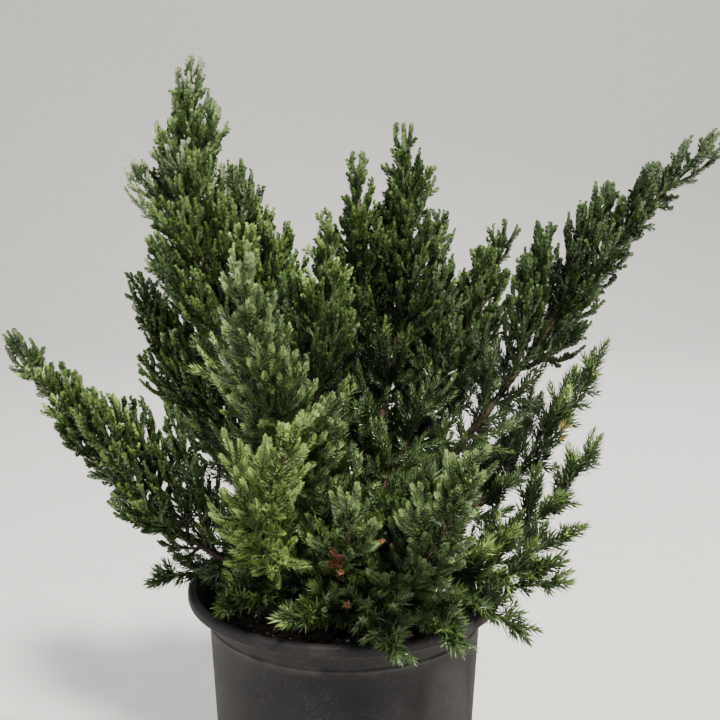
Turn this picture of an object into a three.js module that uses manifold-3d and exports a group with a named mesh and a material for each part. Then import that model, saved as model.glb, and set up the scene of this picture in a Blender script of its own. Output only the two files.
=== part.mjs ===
// A spreading juniper shrub in a round black nursery pot, in millimetres, +Z up.
// The origin is the centre of the pot's flat underside. The shrub's front faces -Y, its longest arm +X.
import * as THREE from 'three';
import { mergeVertices } from 'three/addons/utils/BufferGeometryUtils.js';
import Module from 'manifold-3d';

const wasm = await Module();
wasm.setup();

// Every solid keeps this distance from its neighbours
const GAP = 0.3;

// Pot: a thin moulded tub with a wide flared lip, a band under it and drain slots round its foot
const POT_HEIGHT = 165;
const LIP_RADIUS = 82.5;
const LIP_HEIGHT = 6;
const LIP_FLARE = 3;
const LIP_ROUND = 1.2;
const LIP_FLAT = 3;
const NECK_RADIUS = 75;
const RIDGE_RADIUS = 72.3;
const RIDGE_STEP = 0.8;
const BAND_DEPTH = 17.8;
const BASE_RADIUS = 64.5;
const FOOT_CHAMFER = 4;
const POT_WALL = 1.6;
const POT_FLOOR = 2.5;
const POT_SIDES = 32;
const DRAIN_COUNT = 6;
const DRAIN_WIDTH = 14;
const DRAIN_TOP = 7;
const DRAIN_REACH = 8;
const DRAIN_TURN = 15;

// Soil: a slightly crowned fill of bark mix
const SOIL_LEVEL = 148;
const SOIL_CROWN_RADIUS = 24;
const SOIL_EDGE_DROP = 3;
const SOIL_SIDE_GAP = 1.4;

// Trunk: a short stem that leans a little to the left and forward, flared at the soil.
// Each station is its height over the soil and its radius
const TRUNK_LEAN = new THREE.Vector3(-0.06, -0.04, 1);
const TRUNK_STATIONS = [[0, 12], [3.6, 9.4], [9, 7.5], [24, 6.6], [43, 5.5], [54, 4.6]];
const TRUNK_SIDES = 9;

// Boughs, and the stems inside the masses, which swell a little where the foliage is thick
const BOUGH_SIDES = 5;
const BOUGH_STEPS = 4;
const BOUGH_TIP_RADIUS = 1.9;
const STEM_SIDES = 3;
const STEM_STEPS = 5;
const STEM_TIP_RADIUS = 0.8;
const HEART_SHARE = 0.08;
const HEART_LIMIT = 3.2;
const HEART_LOWNESS = 0.6;
const HEART_ROOM = 0.6;

// A limb's middle line leaves and arrives straight for these shares of its span
const LEAVING_SHARE = 0.4;
const ARRIVING_SHARE = 0.35;

// The rule of the side shoots: they wind up the stem by the golden angle, splay off it less towards the tip,
// turn up towards the light, and are longest low down and on the upper side of a stem that lies over.
// Angles are in degrees, and each scatter is the whole width of a draw
const WINDING = 137.508;
const WINDING_SCATTER = 50;
const SPACING_SCATTER = 0.5;
const LAST_SHOOT = 0.94;
const SPLAY_LOW = 38;
const SPLAY_LOSS = 14;
const SPLAY_SCATTER = 10;
const TURNED_UP = 0.26;
const UPPER_GAIN = 0.5;
const UPPER_LEVEL = 0.4;
const LOWEST_LENGTH = 0.7;
const TIP_LOSS = 0.92;
const TIP_LOSS_POWER = 1.6;
const SHORTER = 0.9;
const LENGTH_SCATTER = 0.3;

// The spray at a limb's tip, and what all sprays share
const END_SPRAY = 38;
const END_SPRAY_SHARE = 0.28;
const SPRAY_STALK = 8;
const SHORTEST_SPRAY = 13;
const SPRAY_TIP = 0.8;
const CORE_LOSS = 0.6;
const NEEDLE_LOSS = 0.35;
const NEEDLE_THICKNESS = 0.75;

// A spray that isn't clear is tried again turned on its own axis, in radians, and then shorter
const SPRAY_TRIALS = [[1, 0], [1, 0.7], [1, 1.4], [0.85, 0], [0.85, 0.7], [0.7, 0], [0.7, 0.7], [0.55, 0]];

// How far foliage stays from the pot's lip and from the soil
const LIP_CLEARANCE = 2.5;
const INSIDE_CLEARANCE = 5;
const SOIL_CLEARANCE = 1.5;
const OVERHANG_FLOOR = 20;

// Kinds of foliage: scales pressed to the twig, the same on pale young shoots, and awl-shaped needles that
// stand off it. needle: a needle's length; spread: its angle off the core, in degrees; whorl: the spacing of
// the whorls; core: the core's radius
const SCALE = { needle: 22, spread: 25, whorl: 21, core: 2.6, colour: 0x3f6a35 };
const PALE = { needle: 21, spread: 26, whorl: 20, core: 2.6, colour: 0x6b8a4e };
const AWL = { needle: 18, spread: 38, whorl: 16, core: 1.8, colour: 0x35562a };

// Limbs that show as one bough with one mass of foliage at its end.
// azimuth: where the tip lies round the trunk, in degrees, 0 at +X and 90 at the back
// reach, height: the tip's distance from the trunk's axis and its height over the soil
// from: how high over the soil the limb leaves the trunk
// lift, rise: its slope over the level as it leaves the trunk and at its tip, in degrees
// turn, lean: how far it heads off its azimuth as it leaves and at its tip, in degrees, none where not given
// girth: its radius at the trunk
// bare: the share of its length that carries no foliage
// width: its longest side shoot; shoots: how many side shoots it has
const BOUGHS = [
  { name: 'left_tall', azimuth: 172, reach: 75, height: 279, from: 36, lift: 60, rise: 100, turn: 10,
    girth: 3.6, bare: 0.27, width: 76, shoots: 17, kind: SCALE },
  { name: 'left_tall_inner', azimuth: 155, reach: 61, height: 228, from: 50, lift: 68, rise: 88, turn: 6,
    girth: 2.8, bare: 0.3, width: 62, shoots: 10, kind: SCALE },
  { name: 'left_mid', azimuth: 158, reach: 122, height: 168, from: 26, lift: 38, rise: 66,
    girth: 2.9, bare: 0.28, width: 60, shoots: 12, kind: SCALE },
  { name: 'left_low', azimuth: -166, reach: 161, height: 149, from: 10, lift: 12, rise: 57, turn: 12,
    girth: 3.2, bare: 0.2, width: 58, shoots: 15, kind: SCALE },
  { name: 'front_left', azimuth: -95, reach: 151, height: 140, from: 20, lift: 18, rise: 55, turn: -34,
    lean: 50, girth: 2.9, bare: 0.24, width: 48, shoots: 12, kind: PALE },
  { name: 'front_centre', azimuth: -110, reach: 117, height: 195, from: 29, lift: 38, rise: 78, turn: 10,
    girth: 3.1, bare: 0.24, width: 60, shoots: 15, kind: PALE },
  { name: 'centre', azimuth: 33, reach: 37, height: 246, from: 40, lift: 62, rise: 90, turn: -2,
    girth: 3.4, bare: 0.28, width: 58, shoots: 17, kind: SCALE },
  { name: 'right_inner', azimuth: 34, reach: 107, height: 194, from: 33, lift: 44, rise: 70,
    girth: 2.8, bare: 0.28, width: 62, shoots: 10, kind: SCALE },
  { name: 'right_long', azimuth: -3, reach: 179, height: 241, from: 26, lift: 41, rise: 41,
    girth: 3.6, bare: 0.34, width: 54, shoots: 18, kind: SCALE },
  { name: 'right_mid', azimuth: 8, reach: 139, height: 140, from: 17, lift: 18, rise: 64,
    girth: 2.6, bare: 0.4, width: 38, shoots: 9, kind: AWL },
  { name: 'right_low', azimuth: -2, reach: 131, height: 95, from: 5, lift: 8, rise: 62, turn: -4,
    girth: 2.5, bare: 0.38, width: 38, shoots: 8, kind: AWL },
  { name: 'front_right', azimuth: -71, reach: 158, height: 127, from: 11, lift: 18, rise: 60,
    girth: 3.0, bare: 0.2, width: 56, shoots: 14, kind: PALE },
  { name: 'back_left_tall', azimuth: 116, reach: 92, height: 186, from: 44, lift: 52, rise: 78,
    girth: 2.9, bare: 0.3, width: 62, shoots: 11, kind: SCALE },
  { name: 'back_centre', azimuth: 86, reach: 112, height: 165, from: 39, lift: 42, rise: 68,
    girth: 2.9, bare: 0.3, width: 62, shoots: 11, kind: SCALE },
  { name: 'back_right_tall', azimuth: 54, reach: 122, height: 162, from: 23, lift: 36, rise: 66,
    girth: 2.9, bare: 0.3, width: 62, shoots: 11, kind: SCALE },
  { name: 'back_right', azimuth: 26, reach: 122, height: 104, from: 10, lift: 24, rise: 52,
    girth: 2.5, bare: 0.36, width: 46, shoots: 7, kind: AWL },
  { name: 'back_far_left', azimuth: 138, reach: 145, height: 130, from: 19, lift: 26, rise: 60,
    girth: 2.8, bare: 0.3, width: 58, shoots: 10, kind: SCALE },
  { name: 'back_low_left', azimuth: 118, reach: 152, height: 88, from: 11, lift: 14, rise: 48,
    girth: 2.6, bare: 0.3, width: 54, shoots: 9, kind: SCALE },
  { name: 'back_low', azimuth: 94, reach: 162, height: 98, from: 16, lift: 18, rise: 50,
    girth: 2.7, bare: 0.3, width: 58, shoots: 10, kind: SCALE },
  { name: 'back_low_right', azimuth: 66, reach: 156, height: 90, from: 9, lift: 14, rise: 50,
    girth: 2.6, bare: 0.3, width: 58, shoots: 10, kind: SCALE },
];

// Thin shoots that spring straight from the trunk, so that each is a mass with its own stem
const SPRIGS = [
  { name: 'left_front_inner', azimuth: -132, reach: 80, height: 157, from: 33, lift: 48, rise: 80,
    girth: 1.7, bare: 0.34, width: 40, shoots: 6, kind: PALE },
  { name: 'right_upright', azimuth: 20, reach: 58, height: 180, from: 32, lift: 54, rise: 88, turn: -50,
    girth: 1.8, bare: 0.35, width: 38, shoots: 7, kind: SCALE },
  { name: 'centre_left', azimuth: 60, reach: 14, height: 232, from: 47, lift: 58, rise: 90, turn: 10,
    girth: 1.9, bare: 0.3, width: 50, shoots: 9, kind: SCALE },
  { name: 'inner_left', azimuth: -140, reach: 11, height: 203, from: 46, lift: 45, rise: 92, turn: 25,
    girth: 1.9, bare: 0.3, width: 50, shoots: 8, kind: SCALE },
  { name: 'front_low', azimuth: -88, reach: 118, height: 99, from: 20, lift: 26, rise: 66,
    girth: 1.8, bare: 0.22, width: 42, shoots: 8, kind: PALE },
  { name: 'front_right_inner', azimuth: -66, reach: 98, height: 104, from: 26, lift: 34, rise: 70,
    girth: 1.7, bare: 0.22, width: 42, shoots: 6, kind: AWL },
  { name: 'right_low_tip', azimuth: -14, reach: 123, height: 56, from: 12, lift: 14, rise: 36, turn: -8,
    girth: 1.6, bare: 0.4, width: 26, shoots: 5, kind: AWL },
  { name: 'right_fringe', azimuth: -22, reach: 119, height: 33, from: 4, lift: 18, rise: 12, turn: -12,
    girth: 1.5, bare: 0.45, width: 24, shoots: 4, kind: AWL },
  { name: 'right_front_low', azimuth: -33, reach: 122, height: 52, from: 19, lift: 20, rise: 30, turn: -4,
    girth: 1.6, bare: 0.4, width: 28, shoots: 5, kind: AWL },
  { name: 'right_hanging', azimuth: -36, reach: 108, height: 12, from: 8, lift: 24, rise: -34, turn: -8,
    girth: 1.5, bare: 0.5, width: 22, shoots: 4, kind: AWL },
  { name: 'front_rim', azimuth: -112, reach: 82, height: 28, from: 4, lift: 22, rise: -6, turn: 36, lean: -72,
    girth: 1.6, bare: 0.45, width: 22, shoots: 5, kind: AWL },
  { name: 'front_fringe_left', azimuth: -76, reach: 103, height: 20, from: 8, lift: 22, rise: -20, turn: -29,
    girth: 1.5, bare: 0.42, width: 34, shoots: 6, kind: AWL },
  { name: 'front_fringe_right', azimuth: -60, reach: 106, height: 20, from: 2, lift: 30, rise: -26, turn: 6,
    girth: 1.5, bare: 0.42, width: 34, shoots: 6, kind: AWL },
  { name: 'left_front_rim', azimuth: -134, reach: 84, height: 26, from: 4, lift: 18, rise: -8,
    girth: 1.5, bare: 0.5, width: 20, shoots: 4, kind: AWL },
  { name: 'left_rim', azimuth: -174, reach: 102, height: 19, from: 3, lift: 18, rise: -18, turn: -10,
    girth: 1.5, bare: 0.45, width: 24, shoots: 4, kind: AWL },
  { name: 'back_fringe', azimuth: 78, reach: 106, height: 34, from: 4, lift: 20, rise: 6,
    girth: 1.5, bare: 0.45, width: 26, shoots: 5, kind: AWL },
  { name: 'back_left_fringe', azimuth: 148, reach: 104, height: 44, from: 8, lift: 22, rise: 16,
    girth: 1.5, bare: 0.45, width: 26, shoots: 5, kind: AWL },
];

const potMaterial = new THREE.MeshStandardMaterial({ color: 0x2c2b2c, roughness: 0.55, metalness: 0 });
const soilMaterial = new THREE.MeshStandardMaterial({ color: 0x2a1f17, roughness: 0.95, metalness: 0 });
const barkMaterial = new THREE.MeshStandardMaterial({ color: 0x6b4a32, roughness: 0.85, metalness: 0 });

const THIRD_TURN = (2 * Math.PI) / 3;
const NEARLY_UPRIGHT = 0.95;
const DRAW_MODULUS = 2147483647;

const group = new THREE.Group();

function radians(degrees) {
  return THREE.MathUtils.degToRad(degrees);
}

// A unit vector that points to an azimuth and slopes up from the level
function heading(azimuth, slope) {
  const level = Math.cos(radians(slope));
  const x = level * Math.cos(radians(azimuth));
  const y = level * Math.sin(radians(azimuth));
  return new THREE.Vector3(x, y, Math.sin(radians(slope)));
}

// A draw between 0 and 1 that is always the same for the same mass, shoot and use
function draw(seed, shoot, use) {
  let state = (seed * 7919 + shoot * 104729 + use * 1299709 + 12345) % DRAW_MODULUS;
  for (let round = 0; round < 3; round += 1) {
    state = (state * 16807) % DRAW_MODULUS;
  }
  return state / DRAW_MODULUS;
}

function solidFrom(positions, triangles) {
  const mesh = new wasm.Mesh({
    numProp: 3,
    vertProperties: Float32Array.from(positions),
    triVerts: Uint32Array.from(triangles),
  });
  return new wasm.Manifold(mesh);
}

// A closed three.js geometry as a solid: corners are shared, and a lathe's flat slivers on the axis dropped
function solidOf(geometry) {
  geometry.deleteAttribute('normal');
  geometry.deleteAttribute('uv');
  const shared = mergeVertices(geometry, 1e-3);
  const corners = Array.from(shared.getIndex().array);
  const triangles = [];
  for (let corner = 0; corner < corners.length; corner += 3) {
    const [a, b, c] = corners.slice(corner, corner + 3);
    if (a !== b && b !== c && c !== a) {
      triangles.push(a, b, c);
    }
  }
  return solidFrom(shared.getAttribute('position').array, triangles);
}

// A solid of revolution about the Z axis from a profile of [radius, height] that starts and ends on the axis
function turned(profile, sides) {
  const points = profile.map(([radius, height]) => new THREE.Vector2(radius, height));
  const geometry = new THREE.LatheGeometry(points, sides);
  geometry.rotateX(Math.PI / 2);
  return solidOf(geometry);
}

function addPart(name, solid, material) {
  const mesh = solid.getMesh();
  const geometry = new THREE.BufferGeometry();
  geometry.setAttribute('position', new THREE.Float32BufferAttribute(mesh.vertProperties, 3));
  geometry.setIndex(new THREE.Uint32BufferAttribute(mesh.triVerts, 1));
  geometry.computeVertexNormals();
  const part = new THREE.Mesh(geometry, material);
  part.name = name;
  group.add(part);
}

// Two directions square to a heading, the second one as upright as it can be
function crossFrame(direction) {
  const isUpright = Math.abs(direction.z) > NEARLY_UPRIGHT;
  const upright = isUpright ? new THREE.Vector3(0, 1, 0) : new THREE.Vector3(0, 0, 1);
  const side = new THREE.Vector3().crossVectors(upright, direction).normalize();
  const up = new THREE.Vector3().crossVectors(direction, side).normalize();
  return { side, up };
}

function around(frame, angle) {
  const part = frame.side.clone().multiplyScalar(Math.cos(angle));
  return part.addScaledVector(frame.up, Math.sin(angle));
}

// A closed tapering tube through its stations, with flat ends square to its direction
function taperedTube({ centres, directions, radii }, sides) {
  const positions = [];
  const triangles = [];
  centres.forEach((centre, index) => {
    const frame = crossFrame(directions[index]);
    for (let side = 0; side < sides; side += 1) {
      const outward = around(frame, (2 * Math.PI * side) / sides);
      positions.push(...centre.clone().addScaledVector(outward, radii[index]).toArray());
    }
  });
  const last = centres.length - 1;
  const at = (ring, side) => ring * sides + (side % sides);
  for (let ring = 0; ring < last; ring += 1) {
    for (let side = 0; side < sides; side += 1) {
      triangles.push(at(ring, side), at(ring, side + 1), at(ring + 1, side + 1));
      triangles.push(at(ring, side), at(ring + 1, side + 1), at(ring + 1, side));
    }
  }
  for (let side = 1; side < sides - 1; side += 1) {
    triangles.push(at(0, 0), at(0, side + 1), at(0, side));
    triangles.push(at(last, 0), at(last, side), at(last, side + 1));
  }
  return solidFrom(positions, triangles);
}

function makePot() {
  const ridge = POT_HEIGHT - BAND_DEPTH;
  const underLip = POT_HEIGHT - LIP_HEIGHT;
  const profile = [
    [0, 0],
    [BASE_RADIUS - FOOT_CHAMFER, 0],
    [BASE_RADIUS, FOOT_CHAMFER],
    [RIDGE_RADIUS - RIDGE_STEP, ridge],
    [RIDGE_RADIUS, ridge + RIDGE_STEP],
    [NECK_RADIUS, underLip - LIP_FLARE],
    [LIP_RADIUS, underLip],
    [LIP_RADIUS, POT_HEIGHT - LIP_ROUND],
    [LIP_RADIUS - LIP_ROUND, POT_HEIGHT],
    [LIP_RADIUS - LIP_FLAT, POT_HEIGHT],
    [NECK_RADIUS - POT_WALL, underLip],
    [RIDGE_RADIUS - POT_WALL, ridge],
    [BASE_RADIUS - POT_WALL, POT_FLOOR],
    [0, POT_FLOOR],
  ];
  let pot = turned(profile, POT_SIDES);
  for (let index = 0; index < DRAIN_COUNT; index += 1) {
    const slot = new THREE.BoxGeometry(2 * DRAIN_REACH, DRAIN_WIDTH, 2 * DRAIN_TOP);
    slot.translate(BASE_RADIUS, 0, 0);
    slot.rotateZ(radians(DRAIN_TURN + (360 * index) / DRAIN_COUNT));
    pot = pot.subtract(solidOf(slot));
  }
  addPart('pot', pot, potMaterial);
}

function makeSoil() {
  const bottom = POT_FLOOR + GAP;
  const top = SOIL_LEVEL - SOIL_EDGE_DROP;
  const slope = (RIDGE_RADIUS - BASE_RADIUS) / (POT_HEIGHT - BAND_DEPTH - POT_FLOOR);
  const radiusAt = (height) => BASE_RADIUS - POT_WALL - SOIL_SIDE_GAP + slope * (height - POT_FLOOR);
  const profile = [
    [0, bottom],
    [radiusAt(bottom), bottom],
    [radiusAt(top), top],
    [SOIL_CROWN_RADIUS, SOIL_LEVEL],
    [0, SOIL_LEVEL],
  ];
  addPart('soil', turned(profile, POT_SIDES), soilMaterial);
}

// The trunk, optionally grown on all sides, so that a limb that is cut by it keeps its gap
function trunkSolid(growth) {
  const last = TRUNK_STATIONS.length - 1;
  const centres = TRUNK_STATIONS.map(([height], index) => {
    const centre = TRUNK_LEAN.clone().multiplyScalar(height);
    const grown = (index === last ? growth : 0) - (index === 0 ? growth : 0);
    return centre.add(new THREE.Vector3(0, 0, SOIL_LEVEL + GAP + grown));
  });
  const directions = centres.map(() => new THREE.Vector3(0, 0, 1));
  const cornerGrowth = growth / Math.cos(Math.PI / TRUNK_SIDES);
  const radii = TRUNK_STATIONS.map(([, radius]) => radius + cornerGrowth);
  return taperedTube({ centres, directions, radii }, TRUNK_SIDES);
}

// A limb's middle line, from the trunk's axis to its tip
function limbCurve({ azimuth, reach, height, from, lift, rise, turn = 0, lean = 0 }) {
  const start = TRUNK_LEAN.clone().multiplyScalar(from).add(new THREE.Vector3(0, 0, SOIL_LEVEL));
  const tip = heading(azimuth, 0).multiplyScalar(reach).add(new THREE.Vector3(0, 0, SOIL_LEVEL + height));
  const span = start.distanceTo(tip);
  const leaving = heading(azimuth + turn, lift).multiplyScalar(span * LEAVING_SHARE);
  const arriving = heading(azimuth + lean, rise).multiplyScalar(span * ARRIVING_SHARE);
  return new THREE.CubicBezierCurve3(start, start.clone().add(leaving), tip.clone().sub(arriving), tip);
}

// Centres, directions and radii of a limb between two shares of its length
function limbStations(curve, [start, end], [startRadius, endRadius], steps) {
  const centres = [];
  const directions = [];
  const radii = [];
  for (let step = 0; step <= steps; step += 1) {
    const share = step / steps;
    const along = start + (end - start) * share;
    centres.push(curve.getPointAt(along));
    directions.push(curve.getTangentAt(along));
    radii.push(startRadius + (endRadius - startRadius) * share);
  }
  return { centres, directions, radii };
}

// The least distance between two straight stretches
function stretchDistance(one, two) {
  const a = one.to.clone().sub(one.from);
  const b = two.to.clone().sub(two.from);
  const between = one.from.clone().sub(two.from);
  const aa = a.dot(a);
  const bb = b.dot(b);
  const ab = a.dot(b);
  const ad = a.dot(between);
  const bd = b.dot(between);
  const spread = aa * bb - ab * ab;
  const clamp = (value) => Math.min(1, Math.max(0, value));
  let s = spread > 1e-9 ? clamp((ab * bd - bb * ad) / spread) : 0;
  let t = (ab * s + bd) / bb;
  if (t < 0) {
    t = 0;
    s = clamp(-ad / aa);
  } else if (t > 1) {
    t = 1;
    s = clamp((ab - ad) / aa);
  }
  return between.addScaledVector(a, s).addScaledVector(b, -t).length();
}

// Everything that stands in the crown so far, as straight stretches with a radius and an owner
const standing = [];

function claim(owner, stretches) {
  for (const stretch of stretches) {
    standing.push({ ...stretch, owner });
  }
}

function stretchesOf({ centres, radii }) {
  return centres.slice(1).map((centre, index) => ({
    from: centres[index],
    to: centre,
    radius: Math.max(radii[index], radii[index + 1]),
  }));
}

// A spray is clear when it keeps its gap to every other owner's wood and needles, and its own needles
// keep theirs to the needles of its mass
function isClear(owner, stretches) {
  return stretches.every((mine) => standing.every((other) => {
    if (other.owner === owner && !(mine.isNeedle && other.isNeedle)) {
      return true;
    }
    return stretchDistance(mine, other) > mine.radius + other.radius + GAP;
  }));
}

function clearsPot(stretches) {
  return stretches.every(({ from, to }) => [from, to].every((point) => {
    const reach = Math.hypot(point.x, point.y);
    const isOverLip = point.z > POT_HEIGHT + LIP_CLEARANCE;
    const isOutside = reach > LIP_RADIUS + LIP_CLEARANCE && point.z > OVERHANG_FLOOR;
    const isInside = reach < NECK_RADIUS - INSIDE_CLEARANCE && point.z > SOIL_LEVEL + SOIL_CLEARANCE;
    return isOverLip || isOutside || isInside;
  }));
}

// A limb's bough: from the trunk's side to where its foliage begins
function planBough(limb) {
  const curve = limbCurve(limb);
  const stations = limbStations(curve, [0, limb.bare], [limb.girth, BOUGH_TIP_RADIUS], BOUGH_STEPS);
  claim(`bough_${limb.name}`, stretchesOf(stations).slice(1));
  return { limb, curve, stations };
}

// A mass's stem: on from its bough's tip, or from the trunk, to where its end spray takes over
function planStem(limb, curve, startsAtTrunk) {
  const length = curve.getLength();
  const start = startsAtTrunk ? 0 : limb.bare + GAP / length;
  const end = 1 - Math.min(END_SPRAY / length, END_SPRAY_SHARE);
  const radius = startsAtTrunk ? limb.girth : BOUGH_TIP_RADIUS;
  const stations = limbStations(curve, [start, end], [radius, STEM_TIP_RADIUS], STEM_STEPS);
  claim(limb.name, stretchesOf(stations).slice(startsAtTrunk ? 1 : 0));
  return { limb, curve, stations, start, end, startsAtTrunk };
}

// The heart of a mass: its stem swells where the foliage is thick, as far as its neighbours leave room
function swellStem({ limb, stations, start, end }) {
  const swell = Math.min(HEART_LIMIT, limb.width * HEART_SHARE);
  stations.radii.forEach((radius, index) => {
    const along = start + ((end - start) * index) / STEM_STEPS;
    const share = Math.max(0, (along - limb.bare) / (1 - limb.bare));
    const wanted = radius + swell * Math.sin(Math.PI * share ** HEART_LOWNESS);
    const centre = stations.centres[index];
    const here = { from: centre, to: centre.clone().addScaledVector(stations.directions[index], GAP) };
    const rooms = standing.filter(({ owner }) => owner !== limb.name)
      .map((other) => stretchDistance(here, other) - other.radius - GAP);
    stations.radii[index] = Math.max(radius, Math.min(wanted, HEART_ROOM * Math.min(...rooms)));
  });
  claim(limb.name, stretchesOf(stations));
}

// A point on the straight stretches that a stem and its end spray are made of
function spinePoint({ curve, stations, start, end }, along) {
  if (along >= end) {
    return stations.centres[STEM_STEPS].clone().lerp(curve.getPointAt(1), (along - end) / (1 - end));
  }
  const place = (STEM_STEPS * (along - start)) / (end - start);
  const step = Math.floor(place);
  return stations.centres[step].clone().lerp(stations.centres[step + 1], place - step);
}

// The shoot that carries a mass on from its stem's end to the limb's tip
function endShoot({ curve, stations }) {
  const end = stations.centres[STEM_STEPS];
  const root = end.clone().addScaledVector(stations.directions[STEM_STEPS], -SPRAY_STALK / 2);
  const direction = curve.getPointAt(1).sub(root);
  const length = direction.length();
  return { root, direction: direction.normalize(), length, roll: 0 };
}

// The side shoots of a mass, by the seeded rule
function sideShoots(plan, seed) {
  const { limb, curve } = plan;
  const shoots = [];
  for (let index = 0; index < limb.shoots; index += 1) {
    const scatter = (use, width) => width * (draw(seed, index, use) - 0.5);
    const share = (index + SPACING_SCATTER * draw(seed, index, 0)) / limb.shoots;
    const along = limb.bare + (LAST_SHOOT - limb.bare) * share;
    const stem = curve.getTangentAt(along);
    const angle = radians(WINDING * index + scatter(1, WINDING_SCATTER));
    const splay = radians(SPLAY_LOW - SPLAY_LOSS * share + scatter(2, SPLAY_SCATTER));
    const direction = stem.clone().multiplyScalar(Math.cos(splay));
    direction.addScaledVector(around(crossFrame(stem), angle), Math.sin(splay));
    direction.z += TURNED_UP;
    const lyingOver = Math.hypot(stem.x, stem.y);
    const upper = 1 + UPPER_GAIN * lyingOver * (Math.sin(angle) - UPPER_LEVEL);
    const taper = Math.min(1, LOWEST_LENGTH + share) * (1 - TIP_LOSS * share ** TIP_LOSS_POWER);
    shoots.push({
      root: spinePoint(plan, along),
      direction: direction.normalize(),
      length: limb.width * taper * upper * (SHORTER + LENGTH_SCATTER * draw(seed, index, 3)),
      roll: angle + draw(seed, index, 4),
    });
  }
  return shoots;
}

// One spray: a slim three-sided core with staggered whorls of three needles that point forward, and a tip
function spray({ root, direction, length, roll }, kind) {
  const whorls = Math.max(1, Math.round((length - SPRAY_STALK) / kind.whorl));
  const frame = crossFrame(direction);
  const spread = radians(kind.spread);
  const positions = [];
  const triangles = [];
  const distanceAt = (ring) => SPRAY_STALK + ((length - SPRAY_STALK) * ring) / (whorls + SPRAY_TIP);
  const pointAt = (distance, radius, angle) => {
    const point = root.clone().addScaledVector(direction, distance);
    return point.addScaledVector(around(frame, angle), radius);
  };
  const addPoint = (point) => positions.push(...point.toArray()) / 3 - 1;
  const addRing = (distance, radius, turn) => [0, 1, 2].map((corner) => (
    addPoint(pointAt(distance, radius, turn + corner * THIRD_TURN))
  ));

  const base = addRing(0, kind.core, roll);
  const rings = [];
  for (let ring = 0; ring <= whorls; ring += 1) {
    const radius = kind.core * (1 - (CORE_LOSS * ring) / whorls);
    rings.push(addRing(distanceAt(ring), radius, roll + (ring * THIRD_TURN) / 2));
  }
  triangles.push(base[0], base[2], base[1]);
  for (let corner = 0; corner < 3; corner += 1) {
    const next = (corner + 1) % 3;
    triangles.push(base[corner], base[next], rings[0][next]);
    triangles.push(base[corner], rings[0][next], rings[0][corner]);
  }

  const stretches = [];
  for (let ring = 0; ring < whorls; ring += 1) {
    const [lower, upper] = [rings[ring], rings[ring + 1]];
    const reach = kind.needle * (1 - (NEEDLE_LOSS * ring) / whorls);
    const foot = (distanceAt(ring) + distanceAt(ring + 1)) / 2;
    for (let corner = 0; corner < 3; corner += 1) {
      const next = (corner + 1) % 3;
      const facing = roll + (ring * THIRD_TURN) / 2 + (corner + 0.5) * THIRD_TURN;
      const radius = kind.core * CORE_LOSS + reach * Math.sin(spread);
      const point = pointAt(foot + reach * Math.cos(spread), radius, facing);
      const [a, b, c, apex] = [lower[corner], lower[next], upper[corner], addPoint(point)];
      triangles.push(a, b, apex, b, c, apex, c, a, apex);
      triangles.push(b, upper[next], c);
      stretches.push({
        from: pointAt(foot, 0, 0),
        to: point,
        radius: kind.core * NEEDLE_THICKNESS,
        isNeedle: true,
      });
    }
  }
  const end = pointAt(length, 0, 0);
  const tip = addPoint(end);
  for (let corner = 0; corner < 3; corner += 1) {
    triangles.push(rings[whorls][corner], rings[whorls][(corner + 1) % 3], tip);
  }
  stretches.push({ from: root, to: end, radius: kind.core });
  return { solid: solidFrom(positions, triangles), stretches };
}

// A shoot's spray in the first of its trials that is clear, or nothing where none is
function growSpray(limb, shoot) {
  for (const [share, turn] of SPRAY_TRIALS) {
    const trial = { ...shoot, length: shoot.length * share, roll: shoot.roll + turn };
    const { solid, stretches } = spray(trial, limb.kind);
    if (trial.length > SHORTEST_SPRAY && clearsPot(stretches) && isClear(limb.name, stretches)) {
      claim(limb.name, stretches);
      return solid;
    }
  }
  return null;
}

function makeFoliage(plan, seed) {
  const { limb, stations, startsAtTrunk } = plan;
  let foliage = taperedTube(stations, STEM_SIDES);
  for (const shoot of [endShoot(plan), ...sideShoots(plan, seed)]) {
    const grown = growSpray(limb, shoot);
    if (grown) {
      foliage = foliage.add(grown);
    }
  }
  if (startsAtTrunk) {
    foliage = foliage.subtract(grownTrunk);
  }
  const material = new THREE.MeshStandardMaterial({ color: limb.kind.colour, roughness: 0.8, metalness: 0 });
  addPart(`foliage_${limb.name}`, foliage, material);
}

const grownTrunk = trunkSolid(GAP);
const boughPlans = BOUGHS.map(planBough);
const stemPlans = [
  ...boughPlans.map(({ limb, curve }) => planStem(limb, curve, false)),
  ...SPRIGS.map((limb) => planStem(limb, limbCurve(limb), true)),
];
stemPlans.forEach(swellStem);

makePot();
makeSoil();
addPart('trunk', trunkSolid(0), barkMaterial);
for (const { limb, stations } of boughPlans) {
  addPart(`bough_${limb.name}`, taperedTube(stations, BOUGH_SIDES).subtract(grownTrunk), barkMaterial);
}
stemPlans.forEach((plan, index) => makeFoliage(plan, index + 1));

export default group;
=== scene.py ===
# A potted spreading juniper: its pot, soil, bark, twigs and needles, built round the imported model.
# Sizes are in millimetres, as in the solids' source, and meshes are made in metres.
import math

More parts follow.
